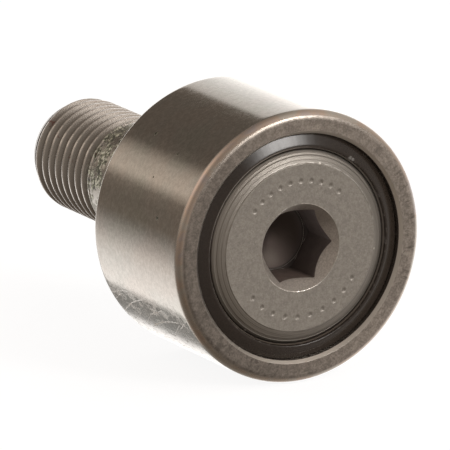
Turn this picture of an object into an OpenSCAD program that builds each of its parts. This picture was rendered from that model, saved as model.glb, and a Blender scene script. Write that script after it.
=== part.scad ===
// Stud-type cam follower, 1 inch roller, hex socket drive, sealed both ends.
// Frame: the stud's axis is Y, its threaded end points to +Y, the flange with
// the hex socket faces -Y, +Z is up. The origin is the centre of the end
// plate's rear face, the face that seats against the machine. Millimetres.

/* [Roller] */
// Outside diameter of the roller
roller_d = 25.4; // [24.6:0.1:32]
// Width of the roller across its two end faces
roller_w = 15.875; // [15.4:0.025:18]
// Radius of the rounded outer corner at the hex end
rim_r = 0.86; // [0.4:0.02:1.2]
// Radius of the rounded outer corner at the stud end
rim_rear_r = 0.6; // [0.4:0.02:1.2]
// Diameter of the counterbore at each end that holds a seal
cbore_d = 21.1; // [20.9:0.05:21.3]
// Chamfer at the counterbore's mouth
cbore_c = 0.28; // [0.1:0.01:0.35]

/* [Stud] */
// Diameter of the plain shank
shank_d = 11.1125; // [10.6:0.0025:11.2]
// Length of the stud from the end plate's rear face to its tip
stud_len = 25.4; // [25.4:0.1:40]
// Length of the threaded end
thread_len = 12.7; // [10:0.1:13]
// Thread pitch (20 threads per inch)
thread_p = 1.27; // [1:0.01:1.5]
// Depth of the chamfer at the stud's tip
tip_c = 0.85; // [0.5:0.05:1.2]
// Length of the chamfer at the stud's tip
tip_l = 1.92; // [0.6:0.02:2.4]

/* [Flange] */
// Outside diameter of the flange and of the end plate
flange_d = 18; // [17.6:0.05:18.2]
// Diameter of the flange's flat outer face
flange_face_d = 15.7; // [14:0.05:16.2]
// Depth of the flange's turned bevel
flange_bevel = 0.62; // [0.3:0.02:0.9]
// Depth of the groove turned in the bevel
flange_groove = 0.07; // [0.02:0.01:0.12]

/* [Hex socket] */
// Hex socket size across flats
hex_af = 6.35; // [5:0.01:6.6]
// Depth of the hex socket
hex_depth = 4.8; // [3:0.1:5.5]
// Diameter of the countersink at the socket's mouth
hex_csk_d = 8.16; // [7.7:0.02:9]
// Radius the countersink loses for each millimetre of depth
csk_slope = 0.68; // [0.5:0.02:1.2]

/* [Lubrication] */
// Diameter of the fitting hole in the stud's tip
lube_d = 4.7625; // [4.2:0.0025:5]
// Depth of the fitting hole
lube_depth = 8; // [6:0.1:9]
// Diameter of the long passage behind the fitting hole
passage_d = 3.175; // [2.6:0.005:3.4]
// Diameter of the two cross holes
cross_d = 2.38125; // [1.5:0.005:2.4]
// Distance of the shank's cross hole from the end plate's rear face
cross_y = 6.35; // [4:0.05:8]

/* [Needles] */
// Diameter of one needle roller
needle_d = 1.984; // [1.96:0.001:1.99]
// Diameter of the circle through the needle rollers' centres
pitch_d = 14.04; // [14.04:0.005:14.06]
// Radial running gap of the needle rollers at each raceway
needle_gap = 0.012; // [0.01:0.001:0.03]
// End play of the needle rollers at each end
needle_play = 0.062; // [0.03:0.001:0.2]

/* [Seals and end plate] */
// Width of the open gap between a seal and the flange's rim
seal_gap = 0.18; // [0.15:0.01:0.3]
// Depth of a seal's outer edge below the roller's end face
seal_sink = 0.78; // [0.6:0.01:0.9]
// Depth of a seal's crown, next to the flange, below the roller's end face
seal_crown = 0.36; // [0.2:0.005:0.45]
// How far the end plate stands out beyond the roller
plate_out = 0.794; // [0.4:0.001:1.2]
// Diameter of the stud's seat inside the end plate
seat_d = 11.6; // [11.4:0.01:11.7]

/* [Hidden] */
needle_n = 22;

// stations along Y
y_rear = -plate_out;                       // roller's rear face
y_front = y_rear - roller_w;               // roller's front face, flush with the flange
y_mid = (y_rear + y_front) / 2;            // middle of the roller
y_plate_in = -2.994;                       // end plate's inner face
y_flange_in = 2 * y_mid - y_plate_in;      // flange's inner face
y_shoulder = y_plate_in - 0.7;             // rear end of the roller's raceway
y_shoulder_f = 2 * y_mid - y_shoulder;     // front end of the roller's raceway
// radii
roller_r = roller_d / 2;
cbore_r = cbore_d / 2;
shank_r = shank_d / 2;
flange_r = flange_d / 2;
face_r = flange_face_d / 2;
needle_r = needle_d / 2;
pitch_r = pitch_d / 2;
inner_r = pitch_r - needle_r - needle_gap; // stud's raceway
outer_r = pitch_r + needle_r + needle_gap; // roller's raceway
seat_r = seat_d / 2;
lip_r = outer_r + 0.13;                    // seal lip's inner edge
csk_deep = (hex_csk_d / 2 - hex_af / 2 + 0.1) / csk_slope; // depth where the countersink is inside the flats
// thread, 60 degree form
crest_r = shank_r - 0.08;
root_r = shank_r - 0.6134 * thread_p;
flank = (crest_r - root_r) * tan(30);
root_flat = thread_p / 8;
grooves = floor((thread_len - tip_l - 0.05) / thread_p);
thread_y = stud_len - thread_len;

// Turns a profile of [radius, y] points about the Y axis
module turned(pts, fn = 96) {
  rotate([-90, 0, 0]) rotate_extrude($fn = fn) polygon(pts);
}

// A straight drilled hole along Y between two stations
module drilled(r, y0, y1, fn = 64) {
  translate([0, y0, 0]) rotate([-90, 0, 0]) cylinder(r = r, h = y1 - y0, $fn = fn);
}

// One thread groove's four corners, from its centre station
function groove(y) = [
  [crest_r, y - flank - root_flat / 2], [root_r, y - root_flat / 2],
  [root_r, y + root_flat / 2], [crest_r, y + flank + root_flat / 2]];

// Stud: flange, raceway, end plate seat, shank and threaded end, one forging
module stud() {
  bev = [
    [0, y_front], [face_r - 0.08, y_front], [face_r, y_front + 0.08],
    [face_r + (flange_r - face_r) * 0.55, y_front + flange_bevel * 0.55],
    [face_r + (flange_r - face_r) * 0.62, y_front + flange_bevel * 0.62 + flange_groove],
    [face_r + (flange_r - face_r) * 0.76, y_front + flange_bevel * 0.74 + flange_groove],
    [face_r + (flange_r - face_r) * 0.80, y_front + flange_bevel * 0.78],
    [flange_r - 0.06, y_front + flange_bevel], [flange_r, y_front + flange_bevel + 0.08],
    [flange_r, y_flange_in - 0.12], [flange_r - 0.12, y_flange_in]];
  body = [
    [inner_r, y_flange_in], [inner_r, y_plate_in], [seat_r, y_plate_in],
    [seat_r, -0.35], [shank_r, 0], [shank_r, thread_y]];
  cuts = [for (k = [0 : grooves - 1], p = groove(thread_y + thread_p * (k + 0.5))) p];
  tip = [[crest_r, stud_len - tip_l], [crest_r - tip_c, stud_len], [0, stud_len]];
  color([0.44, 0.41, 0.38])
  difference() {
    turned(concat(bev, body, [[crest_r, thread_y + 0.01]], cuts, tip));
    // hex socket with a drilled bottom and a countersunk mouth
    translate([0, y_front - 1, 0]) rotate([-90, 0, 0])
      cylinder(d = hex_af / cos(30), h = hex_depth + 1, $fn = 6);
    turned([[0, y_front - 0.5], [hex_csk_d / 2 + 0.5 * csk_slope, y_front - 0.5],
      [hex_af / 2 - 0.1, y_front + csk_deep], [0, y_front + csk_deep]], 64);
    turned([[0, y_front + hex_depth - 0.5], [hex_af / 2 - 0.05, y_front + hex_depth - 0.5],
      [hex_af / 2 - 0.05, y_front + hex_depth + 0.01], [0, y_front + hex_depth + 0.95]], 64);
    // lubrication: fitting hole, long passage, cross holes to the shank and the raceway
    drilled(lube_d / 2, stud_len - lube_depth, stud_len + 1);
    drilled(passage_d / 2, y_mid - 1.2, stud_len - lube_depth + 0.5);
    translate([0, y_mid, 0]) rotate([0, 90, 0]) cylinder(d = cross_d, h = inner_r + 1, $fn = 48);
    translate([0, cross_y, 0]) rotate([0, 90, 0]) cylinder(d = cross_d, h = shank_r + 1, $fn = 48);
  }
}

// Outer race: the roller that runs on the cam
module outer_race() {
  ya = y_front + rim_r;
  yb = y_rear - rim_rear_r;
  front = [for (i = [0 : 9]) let(a = 90 - i * 90 / 9)
    [roller_r - rim_r + rim_r * cos(a), ya - rim_r * sin(a)]];
  rear = [for (i = [0 : 9]) let(a = i * 90 / 9)
    [roller_r - rim_rear_r + rim_rear_r * cos(a), yb + rim_rear_r * sin(a)]];
  inside = [
    [cbore_r + cbore_c, y_rear], [cbore_r, y_rear - cbore_c], [cbore_r, y_shoulder],
    [outer_r + 0.2, y_shoulder], [outer_r, y_shoulder - 0.2],
    [outer_r, y_shoulder_f + 0.2], [outer_r + 0.2, y_shoulder_f],
    [cbore_r, y_shoulder_f], [cbore_r, y_front + cbore_c], [cbore_r + cbore_c, y_front]];
  color([0.5, 0.46, 0.41])
  turned(concat(front, rear, inside), 128);
}

// End plate: the washer pressed on the stud behind the roller
module end_plate() {
  color([0.40, 0.38, 0.35])
  turned([
    [seat_r, y_plate_in], [flange_r - 0.12, y_plate_in], [flange_r, y_plate_in + 0.12],
    [flange_r, -0.45], [flange_r - 0.45, 0], [seat_r + 0.25, 0], [seat_r, -0.25]]);
}

// Seal section at the front end: a ring in the counterbore whose face rises
// like a cone towards the flange and rolls over next to it, with a lip that
// reaches in behind the flange
module seal_ring() {
  r0 = flange_r + seal_gap;
  w = cbore_r - 0.06 - r0;
  // share of the width from the outer edge, share of the rise
  shape = [[0, 0], [0.05, 0.12], [0.2, 0.3], [0.4, 0.53], [0.6, 0.76], [0.78, 0.95],
    [0.86, 1], [0.93, 0.95], [0.975, 0.8], [1, 0.52]];
  face = [for (p = shape)
    [cbore_r - 0.06 - w * p[0], y_front + seal_sink - (seal_sink - seal_crown) * p[1]]];
  turned(concat(
    [[cbore_r, y_shoulder_f], [cbore_r, y_front + seal_sink + 0.06]], face,
    [[flange_r + 0.09, y_front + seal_sink - 0.1], [flange_r + 0.09, y_flange_in + 0.07],
     [lip_r, y_flange_in + 0.07], [lip_r, y_shoulder_f]]));
}

// Seal behind the flange, at the hex end
module seal_front() {
  color([0.09, 0.08, 0.08]) seal_ring();
}

// Seal behind the end plate, the same ring turned round
module seal_rear() {
  color([0.09, 0.08, 0.08]) translate([0, 2 * y_mid, 0]) mirror([0, 1, 0]) seal_ring();
}

// One needle roller at its place in the full complement, counted from +X
module needle(i) {
  l0 = y_flange_in + needle_play;
  l1 = y_plate_in - needle_play;
  c = 0.14;
  a = 360 / needle_n * i;
  color([0.62, 0.62, 0.63])
  translate([pitch_r * cos(a), 0, pitch_r * sin(a)])
  turned([[0, l0], [needle_r - c, l0], [needle_r, l0 + c], [needle_r, l1 - c],
    [needle_r - c, l1], [0, l1]], 32);
}

// The 22 needle rollers
module needle_01() { needle(0); }
module needle_02() { needle(1); }
module needle_03() { needle(2); }
module needle_04() { needle(3); }
module needle_05() { needle(4); }
module needle_06() { needle(5); }
module needle_07() { needle(6); }
module needle_08() { needle(7); }
module needle_09() { needle(8); }
module needle_10() { needle(9); }
module needle_11() { needle(10); }
module needle_12() { needle(11); }
module needle_13() { needle(12); }
module needle_14() { needle(13); }
module needle_15() { needle(14); }
module needle_16() { needle(15); }
module needle_17() { needle(16); }
module needle_18() { needle(17); }
module needle_19() { needle(18); }
module needle_20() { needle(19); }
module needle_21() { needle(20); }
module needle_22() { needle(21); }

stud();
outer_race();
end_plate();
seal_front();
seal_rear();
needle_01();
needle_02();
needle_03();
needle_04();
needle_05();
needle_06();
needle_07();
needle_08();
needle_09();
needle_10();
needle_11();
needle_12();
needle_13();
needle_14();
needle_15();
needle_16();
needle_17();
needle_18();
needle_19();
needle_20();
needle_21();
needle_22();
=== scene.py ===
import math

import bmesh
import bpy
import numpy as np
from mathutils import Matrix, Vector


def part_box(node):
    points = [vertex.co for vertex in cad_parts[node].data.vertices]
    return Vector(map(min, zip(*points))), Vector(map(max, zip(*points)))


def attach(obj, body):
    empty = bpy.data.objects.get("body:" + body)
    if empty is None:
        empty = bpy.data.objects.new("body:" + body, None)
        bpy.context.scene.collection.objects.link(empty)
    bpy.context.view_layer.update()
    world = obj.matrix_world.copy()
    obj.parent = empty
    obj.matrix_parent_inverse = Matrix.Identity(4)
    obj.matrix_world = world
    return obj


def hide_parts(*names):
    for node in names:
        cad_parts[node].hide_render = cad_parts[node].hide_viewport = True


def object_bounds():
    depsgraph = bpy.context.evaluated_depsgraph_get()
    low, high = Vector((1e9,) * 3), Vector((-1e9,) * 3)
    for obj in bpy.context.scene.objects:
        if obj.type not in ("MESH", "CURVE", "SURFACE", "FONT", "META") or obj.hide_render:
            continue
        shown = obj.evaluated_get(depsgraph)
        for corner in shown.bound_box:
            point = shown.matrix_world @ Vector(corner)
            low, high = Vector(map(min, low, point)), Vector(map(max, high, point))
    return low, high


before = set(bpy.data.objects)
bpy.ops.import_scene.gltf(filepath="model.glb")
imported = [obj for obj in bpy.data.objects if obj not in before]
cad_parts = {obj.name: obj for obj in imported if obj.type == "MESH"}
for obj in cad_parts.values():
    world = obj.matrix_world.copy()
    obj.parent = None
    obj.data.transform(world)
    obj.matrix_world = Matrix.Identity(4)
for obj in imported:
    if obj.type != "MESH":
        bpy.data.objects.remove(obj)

cad_lo, cad_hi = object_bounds()
MM = 0.001
PI2 = 2 * math.pi

# ---------------------------------------------------------------- dimensions
# the first ones are taken from the imported boxes, the rest are given; all in mm
lo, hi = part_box("outer_race")
ROLLER_R = (hi.x - lo.x) * 500
Y_FRONT, Y_REAR = lo.y * 1000, hi.y * 1000
Y_MID = (Y_FRONT + Y_REAR) / 2
lo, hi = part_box("stud")
Y_TIP = hi.y * 1000
FLANGE_R = (hi.x - lo.x) * 500
lo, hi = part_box("end_plate")
Y_PLATE_IN = lo.y * 1000
Y_PLATE_OUT = hi.y * 1000
lo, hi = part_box("seal_front")
CBORE_R = (hi.x - lo.x) * 500
Y_SEAL = lo.y * 1000
Y_SHOULDER_F = hi.y * 1000
Y_SHOULDER = 2 * Y_MID - Y_SHOULDER_F
Y_FLANGE_IN = 2 * Y_MID - Y_PLATE_IN
lo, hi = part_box("needle_01")
NEEDLE_R = (hi.x - lo.x) * 500
PITCH_R = (hi.x + lo.x) * 500
NEEDLE_Y0, NEEDLE_Y1 = lo.y * 1000, hi.y * 1000
SHANK_R = 5.55625
CREST_R = SHANK_R - 0.08
PITCH = 1.27
ROOT_R = SHANK_R - 0.6134 * PITCH
TIP_C, TIP_L = 0.85, 1.92
Y_THREAD = Y_TIP - 12.7
INNER_R = PITCH_R - NEEDLE_R - 0.012
OUTER_R = PITCH_R + NEEDLE_R + 0.012
SEAT_R = 5.8
FACE_R = 7.85
BEVEL = 0.62
HEX = 6.35 / 2
CSK_R = 4.08
CSK_K = 0.68
HEX_DEPTH = 4.8
RIM, RIM_R = 0.86, 0.6
CB_C = 0.28
SEAL_GAP = 0.18
SEAL_SINK, SEAL_CROWN = 0.78, 0.36


# ---------------------------------------------------------------- mesh tools
def fillets(corners, closed, support=0.025):
    """corners (r, y, fillet radius): the profile's points, each fillet an arc
    with a support point on either side, so the flats shade flat."""
    out = []
    n = len(corners)
    for i, (r, y, rad) in enumerate(corners):
        p = Vector((r, y))
        if not closed and i in (0, n - 1):
            out.append((p.x, p.y))
            continue
        a = Vector(corners[(i - 1) % n][:2]) - p
        b = Vector(corners[(i + 1) % n][:2]) - p
        la, lb = a.length, b.length
        if rad <= 0 or la < 1e-6 or lb < 1e-6:
            out.append((p.x, p.y))
            continue
        a, b = a / la, b / lb
        turn = math.pi - a.angle(b)
        if turn < 0.02:
            out.append((p.x, p.y))
            continue
        cut = min(rad * math.tan(turn / 2), la * 0.42, lb * 0.42)
        rad = cut / math.tan(turn / 2)
        c = p + (a + b).normalized() * (rad / math.cos(turn / 2))
        s, e = p + a * cut, p + b * cut
        steps = max(2, int(math.ceil(turn / math.radians(11))))
        gap = min(support, (la - cut) * 0.25)
        out.append(tuple(s + a * gap))
        v0 = s - c
        sign = 1 if v0.x * (e - c).y - v0.y * (e - c).x > 0 else -1
        for k in range(steps + 1):
            t = sign * turn * k / steps
            out.append((c.x + v0.x * math.cos(t) - v0.y * math.sin(t),
                        c.y + v0.x * math.sin(t) + v0.y * math.cos(t)))
        gap = min(support, (lb - cut) * 0.25)
        out.append(tuple(e + b * gap))
    return out


def grid_mesh(name, R, Y, closed):
    """A surface of revolution from arrays R, Y [row, column] in mm about the Y
    axis. Rows of radius 0 at the ends close to one point."""
    rows, n = R.shape
    th = np.arange(n) / n * PI2
    co, index = [], []
    count = 0
    for i in range(rows):
        if not closed and i in (0, rows - 1) and R[i].max() < 1e-9:
            co.append(np.array([[0.0, Y[i].mean(), 0.0]]))
            index.append(np.full(n, count))
            count += 1
        else:
            co.append(np.stack([R[i] * np.cos(th), Y[i], R[i] * np.sin(th)], 1))
            index.append(np.arange(count, count + n))
            count += n
    co = np.concatenate(co) * MM
    faces = []
    pairs = [(i, (i + 1) % rows) for i in range(rows if closed else rows - 1)]
    for i, j in pairs:
        a, b = index[i], index[j]
        a1, b1 = np.roll(a, -1), np.roll(b, -1)
        if a[0] == a[1]:
            faces += np.stack([a, b1, b], 1).tolist()
        elif b[0] == b[1]:
            faces += np.stack([a, a1, b], 1).tolist()
        else:
            faces += np.stack([a, a1, b1, b], 1).tolist()
    me = bpy.data.meshes.new(name)
    me.from_pydata(co.tolist(), [], faces)
    me.validate()
    ob = bpy.data.objects.new(name, me)
    bpy.context.scene.collection.objects.link(ob)
    bm = bmesh.new()
    bm.from_mesh(me)
    bmesh.ops.recalc_face_normals(bm, faces=bm.faces)
    bm.to_mesh(me)
    bm.free()
    me.shade_smooth()
    return ob


def lathe(name, corners, n, support=0.025, closed=True):
    prof = fillets(corners, closed, support)
    R = np.repeat(np.array([p[0] for p in prof])[:, None], n, 1)
    Y = np.repeat(np.array([p[1] for p in prof])[:, None], n, 1)
    return grid_mesh(name, R, Y, closed)


def cut(ob, cutters):
    """Subtracts the cutters from ob for good, and keeps the hole edges crisp."""
    for c in cutters:
        m = ob.modifiers.new("cut", "BOOLEAN")
        m.operation, m.solver, m.object = "DIFFERENCE", "EXACT", c
    dg = bpy.context.evaluated_depsgraph_get()
    me = bpy.data.meshes.new_from_object(ob.evaluated_get(dg))
    ob.modifiers.clear()
    old = ob.data
    ob.data = me
    bpy.data.meshes.remove(old)
    for c in cutters:
        data = c.data
        bpy.data.objects.remove(c)
        bpy.data.meshes.remove(data)
    ob.data.shade_smooth()
    ob.data.set_sharp_from_angle(angle=math.radians(40))
    return ob


def rod(name, r, p0, p1, n=64):
    """A capped rod between two points in mm, for cutting cross holes."""
    bm = bmesh.new()
    bmesh.ops.create_cone(bm, cap_ends=True, segments=n, radius1=r * MM, radius2=r * MM, depth=1)
    me = bpy.data.meshes.new(name)
    bm.to_mesh(me)
    bm.free()
    a, b = Vector(p0) * MM, Vector(p1) * MM
    ob = bpy.data.objects.new(name, me)
    bpy.context.scene.collection.objects.link(ob)
    d = b - a
    rot = d.to_track_quat("Z", "Y").to_matrix()
    for v in me.vertices:
        v.co = rot @ Vector((v.co.x, v.co.y, v.co.z * d.length)) + (a + b) / 2
    return ob


# ---------------------------------------------------------------- the stud
N_STUD = 480
TH = np.arange(N_STUD) / N_STUD * PI2


def smin(a, b, k):
    h = np.clip(0.5 + 0.5 * (b - a) / k, 0, 1)
    return b * (1 - h) + a * h - k * h * (1 - h)


def smax(a, b, k):
    return -smin(-a, -b, k)


def build_stud():
    Rr, Yy = [], []

    def row(r, y):
        Rr.append(np.broadcast_to(np.asarray(r, float), TH.shape).copy())
        Yy.append(np.broadcast_to(np.asarray(y, float), TH.shape).copy())

    def ring(points):
        for r, y in points:
            row(r, y)

    rng = np.random.default_rng(7)
    # socket: drilled bottom, broached flats, countersunk mouth
    # corners at 0, 60, ... degrees; flats halfway between
    h = HEX / np.cos(np.mod(TH, math.pi / 3) - math.pi / 6)
    h = smin(h, np.full_like(h, HEX / math.cos(math.pi / 6) - 0.02), 0.05)
    y_bot = Y_FRONT + HEX_DEPTH
    row(0, y_bot + 0.94)
    for t in (0.25, 0.5, 0.75, 0.97):
        row(3.1 * t, y_bot + 0.94 * (1 - t))
    row(3.125, y_bot + 0.02)
    row(3.14, y_bot)
    row(h - (h - 3.14) * 0.12, y_bot)
    # burr line where the cone meets the flats
    cone_r = CSK_R + 0.012 * np.interp(TH, np.linspace(0, PI2, 25), np.append(rng.normal(size=24), 0)) * 0.5
    y_c = Y_FRONT + (cone_r - h) / CSK_K
    for t in (0.0, 0.012, 0.2, 0.45, 0.7, 0.9):
        row(h, y_bot - 0.02 + (y_c + 0.08 - y_bot) * t)
    row(h, y_c + 0.035)
    row(h + 0.004, y_c + 0.012)
    row(h + 0.014, y_c - 0.006)
    row(h + 0.03, y_c - 0.034)
    for t in (0.25, 0.55, 0.85):
        r = h + 0.03 + (cone_r - 0.05 - h - 0.03) * t
        row(r, Y_FRONT + (cone_r - r) / CSK_K)
    for d, dy in ((0.03, 0.03 / CSK_K), (0.012, 0.012), (-0.008, 0.003), (-0.03, 0.0)):
        row(cone_r - d, Y_FRONT + dy)
    # flat face, with a generic ring of round punch marks in place of any stamp
    marks = [(a, 6.25) for a in range(50, 141, 10)] + [(a, 6.45) for a in range(219, 328, 12)]
    face_rows = np.linspace(CSK_R + 0.06, FACE_R - 0.14, 52)
    for r in face_rows:
        dy = np.zeros_like(TH)
        for a, rm in marks:
            d = np.hypot(r * np.cos(TH) - rm * math.cos(math.radians(a)), r * np.sin(TH) - rm * math.sin(math.radians(a)))
            pit = np.clip(1 - (d / 0.27) ** 2, 0, 1)
            lip = np.exp(-((d - 0.32) / 0.06) ** 2)
            dy += 0.045 * pit - 0.006 * lip
        row(r, Y_FRONT + dy)
    # rim of the face, the turned bevel with its ring grooves, the flange's edge
    w, b = FLANGE_R - FACE_R, BEVEL
    bevel = [
        (FACE_R - 0.08, Y_FRONT, 0.03), (FACE_R, Y_FRONT + 0.08, 0.05),
        (FACE_R + w * 0.24, Y_FRONT + b * 0.27, 0.04), (FACE_R + w * 0.27, Y_FRONT + b * 0.33, 0.03),
        (FACE_R + w * 0.55, Y_FRONT + b * 0.55, 0.04), (FACE_R + w * 0.62, Y_FRONT + b * 0.62 + 0.04, 0.03),
        (FACE_R + w * 0.76, Y_FRONT + b * 0.74 + 0.04, 0.03), (FACE_R + w * 0.80, Y_FRONT + b * 0.78, 0.03),
        (FLANGE_R - 0.06, Y_FRONT + b, 0.04), (FLANGE_R, Y_FRONT + b + 0.08, 0.05),
        (FLANGE_R, Y_FLANGE_IN - 0.12, 0.03), (FLANGE_R - 0.12, Y_FLANGE_IN, 0.03),
        (INNER_R, Y_FLANGE_IN, 0.0), (INNER_R, Y_PLATE_IN, 0.0), (SEAT_R, Y_PLATE_IN, 0.0),
        (SEAT_R, -0.35, 0.03), (SHANK_R, 0.0, 0.03), (SHANK_R, 1.0, 0), (SHANK_R, 3.5, 0),
        (SHANK_R, 6.35, 0), (SHANK_R, 9.0, 0), (SHANK_R, 11.2, 0)]
    prof = fillets([(FACE_R - 0.14, Y_FRONT, 0)] + bevel, False, 0.02)[1:]
    ring(prof)
    # thread: a right-hand helix, fading out over the last turn
    y0, y1 = 11.5, Y_TIP
    ys = np.linspace(y0, y1 - 0.02, int((y1 - y0) / 0.03))
    for y in ys:
        u = np.mod((y - Y_THREAD) / PITCH + TH / PI2 + 0.5, 1.0)
        d = np.abs(u - 0.5) * PITCH
        v = CREST_R - np.maximum(0, d - 0.095) / math.tan(math.radians(30))
        v = smax(v, np.full_like(v, ROOT_R + 0.02), 0.16)
        v = smin(v, np.full_like(v, CREST_R), 0.09)
        # runout: the groove's depth dies away at the thread's end
        depth = np.clip((y - Y_THREAD - 0.05) / 0.6, 0, 1)
        depth = depth * depth * (3 - 2 * depth)
        v = SHANK_R - (SHANK_R - v) * depth
        if y > Y_TIP - TIP_L - 0.4:
            v = smin(v, np.full_like(v, CREST_R - (y - (Y_TIP - TIP_L)) * TIP_C / TIP_L), 0.05)
        row(v, y)
    r_end = CREST_R - TIP_C
    ring([(r_end - 0.02, Y_TIP - 0.006), (r_end - 0.06, Y_TIP), (r_end - 0.1, Y_TIP), (4.0, Y_TIP), (3.3, Y_TIP),
          (2.75, Y_TIP), (2.66, Y_TIP), (2.62, Y_TIP + -0.02), (2.42, Y_TIP - 0.19), (2.385, Y_TIP - 0.23), (2.381, Y_TIP - 0.3),
          (2.381, Y_TIP - 4.0), (2.381, Y_TIP - 7.95), (2.37, Y_TIP - 8.0), (2.3, Y_TIP - 8.0), (1.65, Y_TIP - 8.0),
          (1.59, Y_TIP - 8.03), (1.5875, Y_TIP - 8.15), (1.5875, 4.0), (1.5875, Y_MID - 1.1), (1.55, Y_MID - 1.2), (1.4, Y_MID - 1.2), (0, Y_MID - 1.2)])
    ob = grid_mesh("stud_body", np.array(Rr), np.array(Yy), False)
    return ob


stud = build_stud()
cut(stud, [rod("c1", 1.190625, (1.0, 6.35, 0), (7.5, 6.35, 0)), rod("c2", 1.190625, (1.0, Y_MID, 0), (7.5, Y_MID, 0))])


# ---------------------------------------------------------------- the roller
def build_race():
    pts = []
    for i in range(0, 19):
        a = math.pi / 2 * (1 - i / 18)
        pts.append((ROLLER_R - RIM + RIM * math.cos(a), Y_FRONT + RIM - RIM * math.sin(a)))
    ya, yb = Y_FRONT + RIM, Y_REAR - RIM_R
    for i in range(1, 30):
        y = ya + (yb - ya) * i / 30
        pts.append((ROLLER_R, y))
    for i in range(0, 17):
        a = math.pi / 2 * i / 16
        pts.append((ROLLER_R - RIM_R + RIM_R * math.cos(a), yb + RIM_R * math.sin(a)))
    inside = [
        (CBORE_R + CB_C, Y_REAR, 0.04), (CBORE_R, Y_REAR - CB_C, 0.04), (CBORE_R, Y_SHOULDER, 0.0),
        (OUTER_R + 0.2, Y_SHOULDER, 0.03), (OUTER_R, Y_SHOULDER - 0.2, 0.03),
        (OUTER_R, Y_SHOULDER_F + 0.2, 0.03), (OUTER_R + 0.2, Y_SHOULDER_F, 0.03),
        (CBORE_R, Y_SHOULDER_F, 0.0), (CBORE_R, Y_FRONT + CB_C, 0.04), (CBORE_R + CB_C, Y_FRONT, 0.04)]
    ring = [(r, y, 0) for r, y in pts]
    # flats between the rounded corner and the counterbore get support rings
    ring.append((ROLLER_R - RIM_R - 0.03, Y_REAR, 0))
    ring += inside
    ring.append((ROLLER_R - RIM - 0.03, Y_FRONT, 0))
    return lathe("roller_outer_race", ring, 480, 0.02)


race = build_race()


# ---------------------------------------------------------------- end plate
plate = lathe("stud_end_plate", [
    (SEAT_R, Y_PLATE_IN, 0.02), (FLANGE_R - 0.12, Y_PLATE_IN, 0.03), (FLANGE_R, Y_PLATE_IN + 0.12, 0.03),
    (FLANGE_R, -0.45, 0.08), (FLANGE_R - 0.45, 0, 0.08), (7.3, 0.0, 0), (SEAT_R + 0.25, 0, 0.03), (SEAT_R, -0.25, 0.03)], 384, 0.02)


# ---------------------------------------------------------------- seals
def build_seal(name, flip):
    r0 = FLANGE_R + SEAL_GAP
    w = CBORE_R - 0.06 - r0
    pts = [(CBORE_R, Y_SHOULDER_F, 0.05), (CBORE_R, Y_FRONT + SEAL_SINK + 0.06, 0.02)]
    # a cone that rises towards the flange and rolls over next to it
    shape = np.array([(0, 0), (0.05, 0.12), (0.2, 0.30), (0.4, 0.53), (0.6, 0.76), (0.78, 0.95), (0.86, 1), (0.93, 0.95), (0.975, 0.80), (1, 0.52)])
    # rounded between the section's points by corner cutting
    for k in range(3):
        a, b = shape[:-1], shape[1:]
        mid = np.stack([a * 0.75 + b * 0.25, a * 0.25 + b * 0.75], 1).reshape(-1, 2)
        shape = np.concatenate([shape[:1], mid[1:-1], shape[-1:]])
    for t, k in shape:
        pts.append((CBORE_R - 0.06 - w * t, Y_FRONT + SEAL_SINK - (SEAL_SINK - SEAL_CROWN) * k, 0))
    pts += [(FLANGE_R + 0.09, Y_FRONT + 0.68, 0.03), (FLANGE_R + 0.09, Y_FLANGE_IN + 0.07, 0.05),
            (OUTER_R + 0.13, Y_FLANGE_IN + 0.07, 0.05), (OUTER_R + 0.13, Y_SHOULDER_F, 0.05)]
    if flip:
        pts = [(r, 2 * Y_MID - y, f) for r, y, f in pts]
    return lathe(name, pts, 384, 0.02)


seal_f = build_seal("front_seal_ring", False)
seal_r = build_seal("rear_seal_ring", True)

# ---------------------------------------------------------------- needles
needles = []
for i in range(22):
    a = PI2 * i / 22
    e = 0.14
    nd = lathe("needle_roller_%02d" % (i + 1), [
        (0, NEEDLE_Y0, 0), (NEEDLE_R - e, NEEDLE_Y0, 0.1), (NEEDLE_R, NEEDLE_Y0 + e, 0.1),
        (NEEDLE_R, NEEDLE_Y1 - e, 0.1), (NEEDLE_R - e, NEEDLE_Y1, 0.1), (0, NEEDLE_Y1, 0)], 48, 0.03, closed=False)
    off = Vector((PITCH_R * math.cos(a), 0, PITCH_R * math.sin(a))) * MM
    nd.data.transform(Matrix.Translation(off))
    needles.append(nd)

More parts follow.
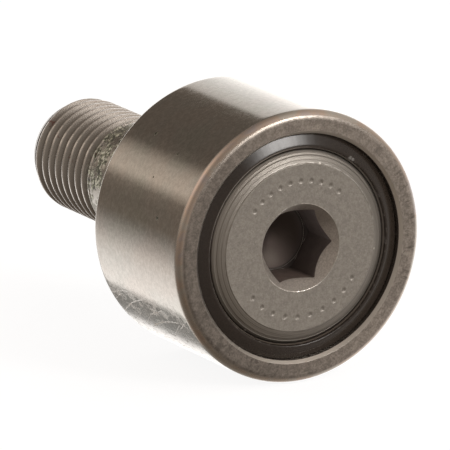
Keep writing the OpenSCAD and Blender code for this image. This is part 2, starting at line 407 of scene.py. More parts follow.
# ---------------------------------------------------------------- node helper
class Net:
    """Short calls for building a shader node tree."""

    def __init__(self, tree):
        self.t = tree
        self.k = 0

    def node(self, kind, **props):
        n = self.t.nodes.new(kind)
        n.location = (self.k % 40 * 40, -(self.k // 40) * 60)
        self.k += 1
        for a, v in props.items():
            setattr(n, a, v)
        return n

    def put(self, sock, v):
        if isinstance(v, bpy.types.NodeSocket):
            self.t.links.new(v, sock)
        elif v is not None:
            sock.default_value = v

    def m(self, op, a, b=None, c=None, clamp=False):
        n = self.node("ShaderNodeMath", operation=op, use_clamp=clamp)
        for s, v in zip(n.inputs, (a, b, c)):
            self.put(s, v)
        return n.outputs[0]

    def add(self, *v):
        out = v[0]
        for x in v[1:]:
            out = self.m("ADD", out, x)
        return out

    def mul(self, *v):
        out = v[0]
        for x in v[1:]:
            out = self.m("MULTIPLY", out, x)
        return out

    def vec(self, x, y, z):
        n = self.node("ShaderNodeCombineXYZ")
        for s, v in zip(n.inputs, (x, y, z)):
            self.put(s, v)
        return n.outputs[0]

    def vm(self, op, a, b=None, scale=None):
        n = self.node("ShaderNodeVectorMath", operation=op)
        self.put(n.inputs[0], a)
        if b is not None:
            self.put(n.inputs[1], b)
        if scale is not None:
            self.put(n.inputs["Scale"], scale)
        return n.outputs["Value"] if op in ("DOT_PRODUCT", "LENGTH", "DISTANCE") else n.outputs[0]

    def step(self, v, a, b, lo=0.0, hi=1.0):
        n = self.node("ShaderNodeMapRange", interpolation_type="SMOOTHSTEP", clamp=True)
        for s, x in zip(n.inputs, (v, a, b, lo, hi)):
            self.put(s, x)
        return n.outputs[0]

    def noise(self, v, scale=1.0, detail=3.0, rough=0.55, distort=0.0, w=None, dims="3D"):
        n = self.node("ShaderNodeTexNoise", noise_dimensions=dims, normalize=True)
        self.put(n.inputs["Vector"], v)
        if w is not None:
            self.put(n.inputs["W"], w)
        self.put(n.inputs["Scale"], scale)
        self.put(n.inputs["Detail"], detail)
        self.put(n.inputs["Roughness"], rough)
        self.put(n.inputs["Distortion"], distort)
        return n.outputs[0]

    def voronoi(self, v, scale, feature="F1", rand=1.0):
        n = self.node("ShaderNodeTexVoronoi", feature=feature)
        self.put(n.inputs["Vector"], v)
        self.put(n.inputs["Scale"], scale)
        self.put(n.inputs["Randomness"], rand)
        return n.outputs["Distance"]

    def ramp(self, fac, stops, interp="LINEAR"):
        n = self.node("ShaderNodeValToRGB")
        r = n.color_ramp
        r.interpolation = interp
        while len(r.elements) > 1:
            r.elements.remove(r.elements[0])
        for i, (p, c) in enumerate(stops):
            e = r.elements[0] if i == 0 else r.elements.new(p)
            e.position = p
            e.color = (c, c, c, 1) if isinstance(c, (int, float)) else (*c, 1)
        self.put(n.inputs[0], fac)
        return n.outputs[0]

    def mix(self, fac, a, b, mode="MIX"):
        n = self.node("ShaderNodeMix", data_type="RGBA", blend_type=mode, clamp_factor=True)
        self.put(n.inputs[0], fac)
        self.put(n.inputs[6], (*a, 1) if isinstance(a, tuple) else a)
        self.put(n.inputs[7], (*b, 1) if isinstance(b, tuple) else b)
        return n.outputs[2]

    def lerp(self, fac, a, b):
        n = self.node("ShaderNodeMix", data_type="FLOAT", clamp_factor=True)
        self.put(n.inputs[0], fac)
        self.put(n.inputs[2], a)
        self.put(n.inputs[3], b)
        return n.outputs[0]

    def bump(self, height, dist=0.00001, strength=1.0, normal=None):
        n = self.node("ShaderNodeBump")
        self.put(n.inputs["Strength"], strength)
        self.put(n.inputs["Distance"], dist)
        self.put(n.inputs["Height"], height)
        if normal is not None:
            self.put(n.inputs["Normal"], normal)
        return n.outputs[0]


class Turned(Net):
    """A material on a piece turned about the Y axis, with its coordinates in mm."""

    def __init__(self, name, centre=(0.0, 0.0)):
        self.mat = bpy.data.materials.new(name)
        self.mat.use_nodes = True
        super().__init__(self.mat.node_tree)
        self.bsdf = next(n for n in self.t.nodes if n.type == "BSDF_PRINCIPLED")
        tc = self.node("ShaderNodeTexCoord")
        pos = self.vm("SCALE", tc.outputs["Object"], scale=1000.0)
        pos = self.vm("SUBTRACT", pos, (centre[0], 0.0, centre[1]))
        sep = self.node("ShaderNodeSeparateXYZ")
        self.put(sep.inputs[0], pos)
        self.pos = pos
        self.x, self.y, self.z = sep.outputs
        self.r = self.m("SQRT", self.add(self.mul(self.x, self.x), self.mul(self.z, self.z)))
        rr = self.m("MAXIMUM", self.r, 0.001)
        self.c, self.s = self.m("DIVIDE", self.x, rr), self.m("DIVIDE", self.z, rr)
        self.th = self.m("ARCTAN2", self.z, self.x)
        nrm = self.node("ShaderNodeSeparateXYZ")
        self.put(nrm.inputs[0], tc.outputs["Normal"])
        self.ny = nrm.outputs[1]
        self.front = self.m("MULTIPLY", self.ny, -1.0)

    def around(self, kr, ky, kt, w=0.0):
        """Coordinates for a grain drawn out around the axis: kr and ky per mm
        across the grain, kt along it (small)."""
        return self.vec(self.add(self.mul(self.r, kr), self.mul(self.y, ky)), self.add(self.mul(self.c, kt), w), self.mul(self.s, kt))

    def spokes(self, kt, kr):
        """Coordinates for a grain that runs out from the axis."""
        return self.vec(self.mul(self.r, kr), self.mul(self.c, kt), self.mul(self.s, kt))

    def sector(self, deg, half, soft=8.0):
        """1 inside a sector about the angle deg, 0 outside."""
        a = math.radians(deg)
        dot = self.add(self.mul(self.c, math.cos(a)), self.mul(self.s, math.sin(a)))
        return self.step(dot, math.cos(math.radians(half + soft)), math.cos(math.radians(max(half - soft, 0.0))))

    def band(self, v, a, b, soft):
        return self.mul(self.step(v, a - soft, a + soft), self.step(v, b - soft, b + soft, 1.0, 0.0))

    def spot(self, deg, r, y, size, ragged=0.6):
        """1 inside a small ragged spot at an angle, a radius and a station."""
        a = math.radians(deg)
        shift = self.mul(self.add(self.noise(self.pos, 1.6 / size, 3, 0.7), -0.5), 2.0 * ragged * size)
        d = self.vm("DISTANCE", self.pos, (r * math.cos(a), y, r * math.sin(a)))
        return self.step(self.add(d, shift), size, size * 0.6)

    def most(self, *v):
        out = v[0]
        for x in v[1:]:
            out = self.m("MAXIMUM", out, x)
        return out

    def done(self, color, rough, normal=None, metallic=1.0, **more):
        b = self.bsdf
        self.put(b.inputs["Base Color"], (*color, 1) if isinstance(color, tuple) else color)
        self.put(b.inputs["Roughness"], rough)
        self.put(b.inputs["Metallic"], metallic)
        if normal is not None:
            self.put(b.inputs["Normal"], normal)
        for k, v in more.items():
            self.put(b.inputs[k.replace("_", " ")], v)
        return self.mat


# ---------------------------------------------------------------- materials
def race_steel():
    n = Turned("race_steel")
    mottle = n.noise(n.pos, 0.55, 4, 0.6)
    fine = n.noise(n.pos, 6.0, 3, 0.6)
    turn = n.noise(n.around(9.0, 9.0, 1.6), 1.0, 3, 0.6)
    hair = n.noise(n.around(38.0, 38.0, 2.5), 1.0, 2, 0.6)
    # where on the roller: tread, rounded corner, end ring, bore side
    end = n.m("ABSOLUTE", n.ny)
    out = n.step(n.r, 10.9, 11.2)
    corner = n.mul(n.step(end, 0.12, 0.35), n.step(end, 0.8, 0.97, 1.0, 0.0), n.step(n.r, 11.2, 11.5))
    face = n.mul(n.step(end, 0.8, 0.97), n.step(n.r, 10.6, 10.72))
    tread = n.mul(n.step(end, 0.05, 0.2, 1.0, 0.0), n.step(n.r, 12.3, 12.5))
    edge = n.mul(n.step(end, 0.3, 0.5), n.step(end, 0.9, 0.99, 1.0, 0.0), n.step(n.r, 10.5, 10.6), n.step(n.r, 10.84, 10.95, 1.0, 0.0))

    base = n.mix(n.step(mottle, 0.35, 0.7), (0.49, 0.455, 0.415), (0.53, 0.495, 0.455))
    # the end ring: turned, grey, with dark handling stains in patches
    spots = n.noise(n.pos, 1.9, 5, 0.72, 0.5)
    smear = n.noise(n.vec(n.mul(n.c, 26.0), n.mul(n.s, 26.0), n.mul(n.r, 0.7)), 1.0, 3, 0.6)
    low = n.sector(228, 26, 14)
    side = n.sector(8, 34, 14)
    stain = n.m("MAXIMUM", n.mul(n.step(spots, 0.49, 0.60), n.add(n.mul(low, 0.95), n.mul(side, 0.35), 0.12)),
                n.mul(n.step(smear, 0.52, 0.66), n.add(n.mul(side, 0.85), n.mul(low, 0.4), 0.14), n.step(n.r, 10.9, 11.5)))
    # painted shade: the end ring darker round its left and lower left, the rest lifted slightly
    ring_painted_shade = n.lerp(n.sector(200, 70, 45), 1.06, 0.76)
    grain = n.noise(n.pos, 5.5, 3, 0.75)
    cloud = n.noise(n.pos, 2.0, 3, 0.6)
    ring_c = n.mix(n.step(grain, 0.34, 0.66), (0.262, 0.236, 0.211), (0.400, 0.360, 0.322))
    ring_c = n.mix(1.0, ring_c, n.lerp(n.step(cloud, 0.36, 0.62), 0.86, 1.12), "MULTIPLY")
    ring_c = n.mix(n.step(turn, 0.55, 0.75), ring_c, n.mix(1.0, ring_c, (1.12, 1.12, 1.12), "MULTIPLY"))
    ring_c = n.mix(1.0, ring_c, ring_painted_shade, "MULTIPLY")
    ring_c = n.mix(n.mul(stain, 0.72), ring_c, (0.125, 0.110, 0.095))
    base = n.mix(face, base, ring_c)
    # heat tint on the rounded corner: straw, copper and a little violet
    tint = n.ramp(n.add(n.mul(n.noise(n.vec(n.c, n.s, n.mul(n.y, 0.15)), 2.3, 3, 0.6, 0.3), 1.0), n.mul(fine, 0.08)),
                  [(0.30, (0.50, 0.46, 0.41)), (0.42, (0.53, 0.44, 0.36)), (0.50, (0.50, 0.47, 0.42)), (0.58, (0.54, 0.43, 0.35)), (0.66, (0.46, 0.41, 0.40)), (0.78, (0.50, 0.46, 0.41))])
    base = n.mix(n.mul(corner, 0.85), base, tint)
    # tread: ground bright, slightly browner, with a sand-like grain
    sand = n.noise(n.vec(n.mul(n.y, 3.2), n.mul(n.c, 30.0), n.mul(n.s, 30.0)), 1.0, 4, 0.75)
    tread_c = n.mix(n.step(sand, 0.35, 0.68), (0.458, 0.430, 0.389), (0.570, 0.536, 0.489))
    hue = n.noise(n.pos, 0.22, 3, 0.55)
    tread_c = n.mix(n.step(hue, 0.45, 0.62), tread_c, n.mix(1.0, tread_c, (1.02, 0.99, 0.98), "MULTIPLY"))
    tread_c = n.mix(n.step(hue, 0.48, 0.36), tread_c, n.mix(1.0, tread_c, (0.97, 0.99, 0.975), "MULTIPLY"))
    base = n.mix(n.mul(tread, 0.95), base, tread_c)
    # the counterbore's chamfer painted paler all round, with a painted highlight on its upper right and painted shade
    # on its left
    base = n.mix(n.mul(edge, 0.6), base, (0.62, 0.59, 0.54))
    base = n.mix(n.mul(edge, n.sector(62, 64, 16)), base, n.mix(1.0, base, (1.3, 1.3, 1.3), "MULTIPLY"))
    base = n.mix(n.mul(edge, n.sector(178, 30, 16)), base, n.mix(1.0, base, (0.70, 0.70, 0.70), "MULTIPLY"))
    # wear on the tread: long thin scratches, slanting and slightly curved, thick
    # in one worn strip and sparse elsewhere; station along the roller against
    # distance round it, both in mm
    along = n.mul(n.y, -1.0)
    lines = None
    wobble = n.mul(n.add(n.noise(n.pos, 0.9, 2, 0.5), -0.5), 0.25)
    for deg, a0, a1, b0, k1, k2, wide in (
            (213, 1.4, 8.2, 1.62, -0.72, 0.030, 0.10), (213, 5.9, 13.8, 2.25, -0.60, 0.028, 0.10), (213, 4.7, 9.6, 2.15, -0.66, 0.004, 0.07),
            (213, 10.4, 13.6, 2.00, -0.82, 0.020, 0.07), (213, 13.4, 16.1, 0.05, -0.70, 0.010, 0.08),
            (213, 1.2, 4.9, -0.70, -0.42, 0.030, 0.09), (213, 1.2, 3.3, 0.10, -0.62, 0.020, 0.06), (213, 9.2, 11.9, 1.10, 0.10, -0.040, 0.06),
            (213, 2.6, 6.0, 2.20, -0.50, -0.020, 0.05), (213, 7.4, 10.8, 0.10, -0.40, 0.000, 0.05),
            (30, 2.0, 7.0, -1.5, 0.32, -0.020, 0.05), (52, 8.0, 14.5, 1.8, 0.24, -0.015, 0.05), (290, 3.0, 9.0, 1.2, -0.25, 0.020, 0.05), (338, 9.0, 14.0, -1.0, -0.18, 0.010, 0.04)):
        t = math.radians(deg)
        off = n.mul(n.m("ARCTAN2", n.add(n.mul(n.s, math.cos(t)), n.mul(n.c, -math.sin(t))), n.add(n.mul(n.c, math.cos(t)), n.mul(n.s, math.sin(t)))), ROLLER_R)
        da = n.add(along, -a0)
        path = n.add(b0, n.mul(da, n.add(k1, n.mul(da, k2))))
        gap = n.m("ABSOLUTE", n.add(off, n.mul(path, -1.0), wobble))
        one = n.mul(n.step(gap, wide, wide * 0.3), n.band(along, a0, a1, 0.5))
        lines = one if lines is None else n.m("MAXIMUM", lines, one)
    skip = n.step(n.noise(n.pos, 2.4, 3, 0.75), 0.40, 0.52, 0.16, 1.0)
    scratch = n.mul(lines, tread, skip, n.add(0.40, n.mul(n.sector(213, 16, 4), 0.60)))
    worn = n.sector(213.5, 9, 1.2)
    scuff = n.mul(n.step(n.noise(n.vec(n.mul(n.y, 0.55), n.mul(n.c, 12.0), n.mul(n.s, 12.0)), 1.0, 4, 0.7, 0.6), 0.50, 0.66), worn, tread)
    base = n.mix(n.mul(scuff, 0.5), base, (0.66, 0.64, 0.60))
    base = n.mix(n.mul(scratch, 0.95), base, (0.98, 0.97, 0.94))
    # a few specks of dirt
    speck = n.mul(n.most(n.spot(132.9, 12.7, -5.4, 0.26), n.spot(137.4, 12.7, -10.6, 0.16), n.spot(164.9, 12.7, -12.0, 0.22), n.spot(150, 12.7, -9.1, 0.11),
                         n.spot(20, 12.7, -11.0, 0.2), n.spot(300, 12.7, -6.0, 0.2)), tread)
    base = n.mix(n.mul(speck, 0.85), base, n.mix(n.step(grain, 0.45, 0.62), (0.030, 0.034, 0.020), (0.30, 0.31, 0.24)))

    rough = n.lerp(tread, n.lerp(face, 0.27, 0.38), n.lerp(n.step(sand, 0.35, 0.7), 0.075, 0.15))
    rough = n.lerp(n.mul(corner, 0.9), rough, 0.22)
    rough = n.add(rough, n.mul(stain, 0.14), n.mul(n.add(hair, -0.5), 0.10), n.mul(scratch, 0.55), n.mul(scuff, 0.30), n.mul(speck, 0.4), n.mul(n.mul(edge, n.m("SUBTRACT", 1.0, face)), 0.12))
    h = n.add(n.mul(hair, n.lerp(tread, 0.55, 0.16)), n.mul(turn, n.lerp(face, 0.2, 0.9)), n.mul(fine, 0.25), n.mul(stain, -0.3), n.mul(speck, 2.0),
              n.mul(sand, n.lerp(tread, 0.2, 0.55)), n.mul(n.noise(n.pos, 22.0, 2, 0.5), n.lerp(tread, 0.3, 0.3)))
    return n.done(base, rough, n.bump(scratch, 0.0000025, 1.0, n.bump(h, 0.0000022)))


def stud_steel():
    n = Turned("stud_steel")
    mottle = n.noise(n.pos, 0.5, 4, 0.6)
    fine = n.noise(n.pos, 5.0, 4, 0.65)
    grit = n.noise(n.pos, 16.0, 2, 0.6)
    turn = n.noise(n.around(10.0, 10.0, 1.3), 1.0, 3, 0.6)
    hair = n.noise(n.around(34.0, 34.0, 2.0), 1.0, 2, 0.6)
    on_front = n.mul(n.step(n.y, -16.3, -16.5, 0.0, 1.0), n.step(n.front, 0.9, 0.99))
    face = n.mul(on_front, n.step(n.r, 4.0, 4.1))
    bevel = n.mul(n.step(n.r, 7.7, 7.84), n.step(n.y, -15.4, -15.8, 0.0, 1.0))
    socket = n.mul(n.step(n.r, 4.12, 4.05), n.step(n.y, -10.0, -10.5, 0.0, 1.0))
    cone = n.mul(socket, n.step(n.y, -16.63, -16.66, 1.0, 0.0), n.band(n.front, 0.35, 0.8, 0.05))
    inner = n.mul(n.step(n.y, -16.62, -16.60, 0.0, 1.0), socket, n.m("SUBTRACT", 1.0, cone))
    thread = n.step(n.y, 12.5, 12.9)
    shank = n.mul(n.step(n.y, -0.6, 0.0), n.step(n.r, 3.5, 4.0))

    base = n.mix(n.step(mottle, 0.3, 0.7), (0.455, 0.425, 0.385), (0.505, 0.475, 0.43))
    base = n.mix(n.mul(n.step(fine, 0.52, 0.72), 0.35), base, (0.40, 0.37, 0.33))
    # the face and the bevel are darker than the cut edges, with faint blotches and pin specks
    blotch = n.noise(n.pos, 1.2, 4, 0.65)
    speck = n.mul(n.step(n.noise(n.pos, 7.0, 2, 0.6), 0.62, 0.72), face)
    grain = n.noise(n.pos, 6.5, 3, 0.75)
    cloud = n.noise(n.pos, 2.6, 3, 0.65)
    face_c = n.mix(n.step(grain, 0.33, 0.67), (0.322, 0.304, 0.277), (0.390, 0.369, 0.337))
    face_c = n.mix(1.0, face_c, n.lerp(n.step(cloud, 0.36, 0.64), 0.92, 1.08), "MULTIPLY")
    face_c = n.mix(n.mul(speck, 0.4), face_c, (0.60, 0.57, 0.52))
    base = n.mix(face, base, face_c)
    base = n.mix(bevel, base, n.mix(n.step(turn, 0.3, 0.7), (0.270, 0.252, 0.228), (0.350, 0.327, 0.296)))
    # painted shade over the bevel's right half
    base = n.mix(n.mul(bevel, n.sector(5, 105, 25)), base, n.mix(1.0, base, (0.85, 0.85, 0.85), "MULTIPLY"))
    # painted shade on the outer part of the bevel round its lower side, deep in the recess
    outer_bevel_painted_shade = n.mul(bevel, n.step(n.r, 8.35, 8.8), n.sector(290, 85, 30))
    base = n.mix(n.mul(outer_bevel_painted_shade, 0.6), base, (0.105, 0.094, 0.082))
    pale = n.most(n.spot(232.7, 8.95, -15.95, 0.16), n.spot(352, 7.86, -16.6, 0.12), n.spot(75, 7.9, -16.6, 0.14))
    base = n.mix(n.mul(pale, 0.8), base, (0.75, 0.72, 0.66))
    # painted highlight: glints along the edge where the face turns into the bevel, strongest at its upper right, and
    # round the socket's mouth, strongest at its bottom and top, broken up by nicks
    nick = n.noise(n.vec(n.mul(n.c, 6.0), n.mul(n.s, 6.0), n.mul(n.r, 1.0)), 1.6, 4, 0.75)
    rim = n.mul(n.band(n.r, FACE_R - 0.07, FACE_R + 0.05, 0.04), n.step(n.y, -16.2, -16.4, 0.0, 1.0), n.step(nick, 0.38, 0.6), n.add(0.10, n.mul(n.sector(62, 52, 20), 0.35)))
    mouth = n.mul(n.band(n.r, CSK_R - 0.05, CSK_R + 0.05, 0.035), n.step(n.y, -16.3, -16.45, 0.0, 1.0), n.step(n.noise(n.vec(n.mul(n.c, 9.0), n.mul(n.s, 9.0), 0.3), 1.6, 3, 0.8), 0.44, 0.56), n.add(0.12, n.mul(n.sector(258, 40, 6), 1.0), n.mul(n.sector(85, 48, 8), 0.7), n.mul(n.sector(340, 7, 3), 0.5)))
    bright = n.m("MAXIMUM", rim, mouth)
    base = n.mix(n.mul(bright, 0.95), base, (0.92, 0.90, 0.85))
    # painted shade in the punch pits
    pit = n.mul(n.band(n.r, 5.9, 6.8, 0.05), n.step(n.y, -16.655, -16.645), n.step(n.y, -16.4, -16.45, 0.0, 1.0))
    base = n.mix(n.mul(pit, 0.5), base, (0.20, 0.185, 0.165))
    # the socket is left black from hardening, darker still at its drilled bottom, with painted light and painted shade
    # laid on it
    deep = n.step(n.y, -12.2, -11.6)
    # a painted pool of light on the drilled bottom
    socket_painted_light_pool = n.mul(deep, n.step(n.vm("DISTANCE", n.pos, (-0.65, -11.0, -2.75)), 2.0, 0.5))
    base = n.mix(inner, base, n.mix(n.step(blotch, 0.35, 0.65), (0.108, 0.085, 0.078), (0.130, 0.104, 0.094)))
    # painted light on the socket's lower flats
    base = n.mix(n.mul(inner, n.sector(270, 26, 4)), base, n.mix(1.0, base, (1.55, 1.5, 1.45), "MULTIPLY"))
    # darker at the drilled bottom, with the painted pool of light on it
    base = n.mix(n.mul(inner, deep), base, n.mix(socket_painted_light_pool, (0.086, 0.069, 0.062), (0.150, 0.130, 0.114)))
    # painted shade over the ledge where the flats meet the drilled hole
    base = n.mix(n.mul(inner, n.step(n.r, 2.9, 3.0), n.band(n.y, -11.90, -11.40, 0.05)), base, (0.070, 0.058, 0.052))
    base = n.mix(cone, base, n.mix(n.step(grain, 0.34, 0.66), (0.49, 0.456, 0.42), (0.68, 0.64, 0.595)))
    # painted shade on the countersink's upper right
    base = n.mix(n.mul(cone, n.sector(58, 30, 14), 0.45), base, (0.30, 0.27, 0.245))
    # thread: painted light on its upper side, painted shade in the roots, and crests rubbed bright with a painted
    # highlight on them
    crest = n.mul(thread, n.step(n.r, CREST_R - 0.15, CREST_R - 0.02), n.step(n.y, 25.35, 25.2, 0.0, 1.0))
    root = n.mul(thread, n.step(n.r, CREST_R - 0.60, CREST_R - 0.12, 1.0, 0.0), n.step(n.r, 4.45, 4.6))
    base = n.mix(n.mul(thread, 0.85), base, (0.30, 0.278, 0.252))
    base = n.mix(n.mul(thread, n.sector(88, 26, 26)), base, n.mix(1.0, base, (1.35, 1.35, 1.36), "MULTIPLY"))
    base = n.mix(n.mul(root, n.lerp(n.sector(88, 26, 26), 0.80, 0.5)), base, (0.155, 0.138, 0.120))
    base = n.mix(n.mul(crest, 0.85), base, (0.72, 0.68, 0.635))
    # residue of old grease and dirt where the shank meets the thread
    crumbs = n.noise(n.pos, 1.2, 5, 0.68, 0.4)
    dirt = n.mul(n.step(crumbs, 0.44, 0.52), n.band(n.y, 6.5, 14.0, 0.7), n.step(n.r, 4.0, 4.5), n.add(n.mul(n.sector(150, 42, 26), 0.85), 0.10))
    dirt_c = n.ramp(n.noise(n.pos, 3.3, 3, 0.6), [(0.37, (0.016, 0.017, 0.010)), (0.45, (0.075, 0.082, 0.047)), (0.53, (0.225, 0.235, 0.155)), (0.59, (0.74, 0.74, 0.62))])
    base = n.mix(n.mul(dirt, 0.9), base, dirt_c)
    flake = n.most(n.spot(157, 5.556, 10.9, 0.30, 1.0), n.spot(150, 5.556, 11.4, 0.14, 1.0), n.spot(166, 5.556, 10.3, 0.12, 1.0))
    base = n.mix(n.mul(flake, n.step(n.y, 9.0, 9.5), 0.85), base, (0.86, 0.85, 0.76))
    rust = n.mul(n.most(n.spot(136, 5.4, 23.0, 0.62, 1.0), n.spot(126, 5.4, 21.9, 0.2, 1.0), n.mul(n.step(n.noise(n.pos, 1.7, 4, 0.7), 0.62, 0.70), 0.6)), thread)
    base = n.mix(n.mul(rust, 0.8), base, (0.16, 0.055, 0.035))

    rough = n.lerp(face, n.lerp(bevel, 0.32, 0.46), 0.44)
    rough = n.lerp(thread, rough, n.lerp(crest, 0.60, 0.48))
    rough = n.lerp(cone, rough, 0.58)
    rough = n.lerp(shank, rough, 0.27)
    rough = n.lerp(inner, rough, 0.60)
    rough = n.add(rough, n.mul(n.add(fine, -0.5), 0.12), n.mul(dirt, 0.32), n.mul(rust, 0.3), n.mul(bright, -0.12))
    h = n.add(n.mul(hair, n.lerp(bevel, n.lerp(thread, 0.35, 0.02), 1.0)), n.mul(turn, n.lerp(bevel, n.lerp(thread, 0.35, 0.05), 1.6)), n.mul(fine, n.lerp(thread, 0.8, 0.02)), n.mul(grit, n.lerp(face, n.lerp(thread, 0.3, 0.0), 0.8)), n.mul(dirt, 2.0), n.mul(rust, 1.0))
    metal = n.m("SUBTRACT", 1.0, n.m("MAXIMUM", n.mul(n.m("MAXIMUM", dirt, rust), 0.75), n.mul(inner, n.m("SUBTRACT", 1.0, deep), 0.85)))
    return n.done(base, rough, n.bump(h, 0.000003), metal)


def plate_steel():
    n = Turned("plate_steel")
    mottle = n.noise(n.pos, 0.6, 4, 0.6)
    fine = n.noise(n.pos, 6.0, 3, 0.6)
    turn = n.noise(n.around(8.0, 8.0, 1.2), 1.0, 3, 0.6)
    hair = n.noise(n.around(30.0, 30.0, 2.0), 1.0, 2, 0.6)
    base = n.mix(n.step(mottle, 0.3, 0.7), (0.40, 0.375, 0.34), (0.47, 0.44, 0.40))
    rub = n.mul(n.step(n.noise(n.pos, 1.3, 3, 0.6), 0.5, 0.7), n.step(n.ny, 0.9, 0.99))
    base = n.mix(n.mul(rub, 0.5), base, (0.60, 0.565, 0.52))
    edge = n.band(n.ny, 0.35, 0.93, 0.05)
    base = n.mix(n.mul(edge, n.step(fine, 0.4, 0.7), 0.5), base, (0.72, 0.69, 0.64))
    rough = n.add(0.33, n.mul(n.add(fine, -0.5), 0.15), n.mul(rub, -0.06))
    h = n.add(n.mul(turn, 1.5), n.mul(hair, 0.8), n.mul(fine, 0.5))
    return n.done(base, rough, n.bump(h, 0.0000035))


def seal_rubber():
    n = Turned("seal_rubber")
    fine = n.noise(n.pos, 7.0, 3, 0.6)
    spoke = n.noise(n.spokes(34.0, 0.35), 1.0, 3, 0.65)
    ring = n.noise(n.around(6.0, 6.0, 0.8), 1.0, 2, 0.5)
    base = n.mix(n.step(fine, 0.35, 0.7), (0.0185, 0.0132, 0.0098), (0.0260, 0.0190, 0.0145))
    # a pale scuff on the bead and a little grey dust near both edges
    dust = n.mul(n.step(n.noise(n.pos, 2.2, 4, 0.7), 0.52, 0.68), n.m("MAXIMUM", n.step(n.r, 10.25, 10.5), n.step(n.r, 9.38, 9.28)))
    base = n.mix(n.mul(dust, 0.5), base, (0.11, 0.095, 0.08))
    # painted light in the narrow gap next to the flange, lifting its shade, and a pale nick
    flange_gap_painted_light = n.step(n.r, FLANGE_R + 0.20, FLANGE_R + 0.15)
    base = n.mix(n.mul(flange_gap_painted_light, 0.85), base, (0.125, 0.102, 0.083))
    # painted highlight on the seal's inner edge at its upper left
    lip = n.mul(n.step(n.r, 9.42, 9.22), n.sector(130, 30, 24))
    base = n.mix(n.mul(lip, 0.8), base, (0.235, 0.205, 0.175))
    nick = n.most(n.spot(52.6, 9.38, Y_FRONT + 0.40, 0.20, 1.0), n.spot(54.6, 9.33, Y_FRONT + 0.42, 0.22, 1.0))
    base = n.mix(n.mul(nick, 0.6), base, (0.22, 0.205, 0.185))
    rough = n.add(0.17, n.mul(n.add(spoke, -0.5), 0.16), n.mul(dust, 0.3), n.mul(flange_gap_painted_light, 0.35), n.mul(nick, 0.3))
    h = n.add(n.mul(spoke, 1.0), n.mul(ring, 0.6), n.mul(fine, 0.25))
    return n.done(base, rough, n.bump(h, 0.0000025), 0.0, Specular_IOR_Level=0.45)


def needle_steel(i):
    a = PI2 * i / 22
    n = Turned("needle_steel_%02d" % (i + 1), (PITCH_R * math.cos(a), PITCH_R * math.sin(a)))
    hair = n.noise(n.around(30.0, 30.0, 1.0, i * 3.1), 1.0, 2, 0.6)
    fine = n.noise(n.pos, 5.0, 3, 0.6)
    base = n.mix(n.step(fine, 0.3, 0.7), (0.60, 0.60, 0.61), (0.66, 0.66, 0.665))
    return n.done(base, n.add(0.12, n.mul(n.add(hair, -0.5), 0.08)), n.bump(n.add(hair, n.mul(fine, 0.5)), 0.000001))


def dress(ob, mat, body, slot, *nodes):
    ob.data.materials.clear()
    ob.data.materials.append(mat)
    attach(ob, body)
    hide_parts(*nodes)


dress(stud, stud_steel(), "stud", "stud_steel", "stud")
dress(race, race_steel(), "outer_race", "race_steel", "outer_race")
dress(plate, plate_steel(), "stud", "plate_steel", "end_plate")
rubber = seal_rubber()
dress(seal_f, rubber, "outer_race", "seal_rubber", "seal_front")
dress(seal_r, rubber, "outer_race", "seal_rubber", "seal_rear")
for i, nd in enumerate(needles):
    name = "needle_%02d" % (i + 1)
    dress(nd, needle_steel(i), name, "needle_steel", name)


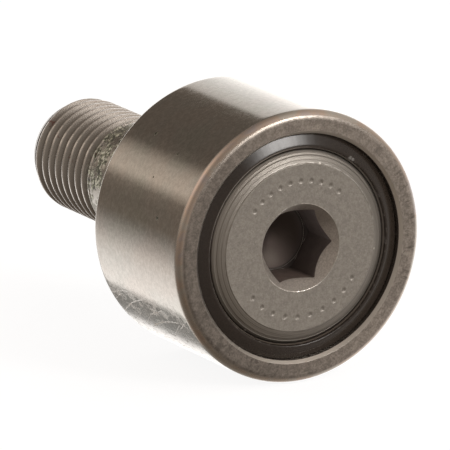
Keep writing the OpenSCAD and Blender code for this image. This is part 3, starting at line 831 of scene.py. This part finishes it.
# ---------------------------------------------------------------- studio
def studio():
    sc = bpy.context.scene
    sc.view_settings.view_transform = "Standard"
    world = bpy.data.worlds.new("studio")
    sc.world = world
    world.use_nodes = True
    world.node_tree.nodes.clear()
    n = Net(world.node_tree)
    tc = n.node("ShaderNodeTexCoord")
    d = tc.outputs["Generated"]
    sep = n.node("ShaderNodeSeparateXYZ")
    n.put(sep.inputs[0], d)
    x, y, z = sep.outputs
    # behind the object: white walls with dark gaps between the light panels, as
    # seen going round the Y axis; 0 is +X, 0.25 is up, 0.5 is -X, 0.75 is down
    turn = n.m("FRACT", n.add(n.m("DIVIDE", n.m("ARCTAN2", z, x), PI2), 1.0))
    W, D, G, K = (1.75, 1.71, 1.68), (0.148, 0.126, 0.106), (0.72, 0.635, 0.55), (0.335, 0.330, 0.318)
    deg = 1 / 360

    def s(c, k):
        return tuple(v * k for v in c)

    ring = n.ramp(turn, [
        (0 * deg, s(W, 1.0)), (10 * deg, s(W, 0.97)), (16 * deg, s(W, 0.88)), (25 * deg, s(W, 0.72)), (36 * deg, s(W, 0.58)), (48 * deg, (0.85, 0.815, 0.785)), (55.0 * deg, (0.75, 0.71, 0.68)),
        (58.0 * deg, s(D, 1.3)), (70 * deg, s(D, 1.0)), (112 * deg, s(D, 0.95)), (123 * deg, s(D, 1.1)), (136 * deg, s(G, 0.8)), (150 * deg, s(G, 1.05)),
        (160 * deg, s(D, 1.7)), (172 * deg, s(D, 1.35)), (186 * deg, s(D, 1.5)), (192 * deg, (0.285, 0.258, 0.232)), (204 * deg, (0.585, 0.550, 0.520)), (216 * deg, (0.965, 0.920, 0.885)), (228 * deg, s(W, 0.68)),
        (250 * deg, s(W, 0.86)), (255 * deg, s(W, 0.86)), (257.5 * deg, K), (272 * deg, s(K, 0.97)), (287 * deg, s(K, 1.05)), (293.5 * deg, s(W, 0.60)), (303 * deg, s(W, 0.80)), (330 * deg, s(W, 0.95))])

    # in front of it: a dim room with soft lobes of light
    def lobe(col, centre, sharp, rgb, power):
        w = Vector(centre).normalized()
        f = n.m("EXPONENT", n.mul(n.add(n.vm("DOT_PRODUCT", d, tuple(w)), -1.0), sharp))
        lit = n.mix(n.mul(f, 1.0), (0.0, 0.0, 0.0), s(rgb, power))
        return n.mix(1.0, col, lit, "ADD")

    front = n.mix(n.step(n.vm("DOT_PRODUCT", d, (-0.25, -0.70, -0.67)), 0.2, 0.95), (0.275, 0.240, 0.210), (0.165, 0.135, 0.110))
    for centre, sharp, rgb, power in (
            ((0.82, 0.42, -0.39), 6.0, (1.0, 0.98, 0.98), 0.80), ((0.70, -0.60, -0.42), 8.0, (1.0, 0.92, 0.86), 0.20),
            ((0.35, -0.42, 0.84), 9.0, (1.0, 0.88, 0.80), 0.40), ((-0.74, 0.25, 0.62), 11.0, (1.0, 0.82, 0.70), 0.90),
            ((0.48, -0.86, -0.15), 10.0, (1.0, 0.92, 0.86), 0.10), ((-0.40, -0.90, 0.05), 7.0, (1.0, 0.93, 0.86), 0.26), ((0.69, -0.52, 0.51), 14.0, (1.0, 0.93, 0.88), 0.32), ((0.88, -0.08, -0.47), 10.0, (1.0, 0.96, 0.93), 0.38),
            ((0.78, 0.22, 0.58), 8.0, (1.0, 0.93, 0.86), 0.34)):
        front = lobe(front, centre, sharp, rgb, power)
    col = n.mix(n.step(y, 0.38, 0.82), front, ring)

    def panel(col, centre, half_w, half_h, soft, rgb, power):
        """A rectangular light panel seen in a direction; sizes are tangents."""
        w = Vector(centre).normalized()
        u = w.cross(Vector((0, 0, 1))).normalized()
        v = u.cross(w)
        dw = n.vm("DOT_PRODUCT", d, tuple(w))
        safe = n.m("MAXIMUM", dw, 0.05)
        a = n.m("ABSOLUTE", n.m("DIVIDE", n.vm("DOT_PRODUCT", d, tuple(u)), safe))
        b = n.m("ABSOLUTE", n.m("DIVIDE", n.vm("DOT_PRODUCT", d, tuple(v)), safe))
        mask = n.mul(n.step(a, half_w + soft, half_w - soft), n.step(b, half_h + soft, half_h - soft), n.step(dw, 0.05, 0.15))
        lit = n.mix(mask, (0.0, 0.0, 0.0), s(rgb, power))
        return n.mix(1.0, col, lit, "ADD")

    col = panel(col, (0.375, -0.84, 0.375), 0.14, 0.13, 0.11, (1.0, 0.97, 0.94), 14.0)
    bg = n.node("ShaderNodeBackground")
    n.put(bg.inputs["Color"], col)
    n.put(bg.inputs["Strength"], 1.0)
    seen = n.node("ShaderNodeBackground")
    n.put(seen.inputs["Color"], (1, 1, 1, 1))
    path = n.node("ShaderNodeLightPath")
    mx = n.node("ShaderNodeMixShader")
    n.put(mx.inputs[0], path.outputs["Is Camera Ray"])
    n.t.links.new(bg.outputs[0], mx.inputs[1])
    n.t.links.new(seen.outputs[0], mx.inputs[2])
    out = n.node("ShaderNodeOutputWorld")
    n.t.links.new(mx.outputs[0], out.inputs[0])

    # plain pale floor: one side only, so the object can be seen from below
    bm = bmesh.new()
    bmesh.ops.create_circle(bm, cap_ends=True, segments=96, radius=3.0)
    me = bpy.data.meshes.new("floor")
    bm.to_mesh(me)
    bm.free()
    floor = bpy.data.objects.new("floor", me)
    floor.location = (0, 0, (cad_lo.z * 1000 - 0.05) * MM)
    sc.collection.objects.link(floor)
    mat = bpy.data.materials.new("floor_paper")
    mat.use_nodes = True
    mat.node_tree.nodes.clear()
    f = Net(mat.node_tree)
    dif = f.node("ShaderNodeBsdfDiffuse")
    grain = f.noise(f.vm("SCALE", f.node("ShaderNodeTexCoord").outputs["Object"], scale=1000.0), 1.2, 3, 0.6)
    f.put(dif.inputs["Color"], f.mix(grain, (0.245, 0.25, 0.26), (0.255, 0.26, 0.27)))
    em = f.node("ShaderNodeEmission")
    f.put(em.inputs["Color"], (1, 1, 1, 1))
    f.put(em.inputs["Strength"], 0.88)
    add = f.node("ShaderNodeAddShader")
    f.t.links.new(dif.outputs[0], add.inputs[0])
    f.t.links.new(em.outputs[0], add.inputs[1])
    clear = f.node("ShaderNodeBsdfTransparent")
    geo = f.node("ShaderNodeNewGeometry")
    mx = f.node("ShaderNodeMixShader")
    f.put(mx.inputs[0], geo.outputs["Backfacing"])
    f.t.links.new(add.outputs[0], mx.inputs[1])
    f.t.links.new(clear.outputs[0], mx.inputs[2])
    out = f.node("ShaderNodeOutputMaterial")
    f.t.links.new(mx.outputs[0], out.inputs[0])
    me.materials.append(mat)
    floor.visible_glossy = False
    floor.visible_shadow = False

    # camera at the photo's viewing angle
    az, el = math.radians(-29.885), math.radians(14.634)
    back = Vector((math.sin(az) * math.cos(el), -math.cos(az) * math.cos(el), math.sin(el)))
    right = Vector((math.cos(az), math.sin(az), 0))
    up = back.cross(right)
    target = Vector((0, -8.0, 0)) + right * -2.519 + up * 0.166
    cam = bpy.data.cameras.new("camera")
    cam.sensor_width = 36.0
    cam.lens = 36.0 * 7222.474 / 450
    cam.clip_start, cam.clip_end = 0.01, 20.0
    ob = bpy.data.objects.new("camera", cam)
    ob.location = (target + back * 660.745) * MM
    ob.rotation_mode = "QUATERNION"
    ob.rotation_quaternion = (-back).to_track_quat("-Z", "Y")
    sc.collection.objects.link(ob)
    sc.camera = ob


studio()
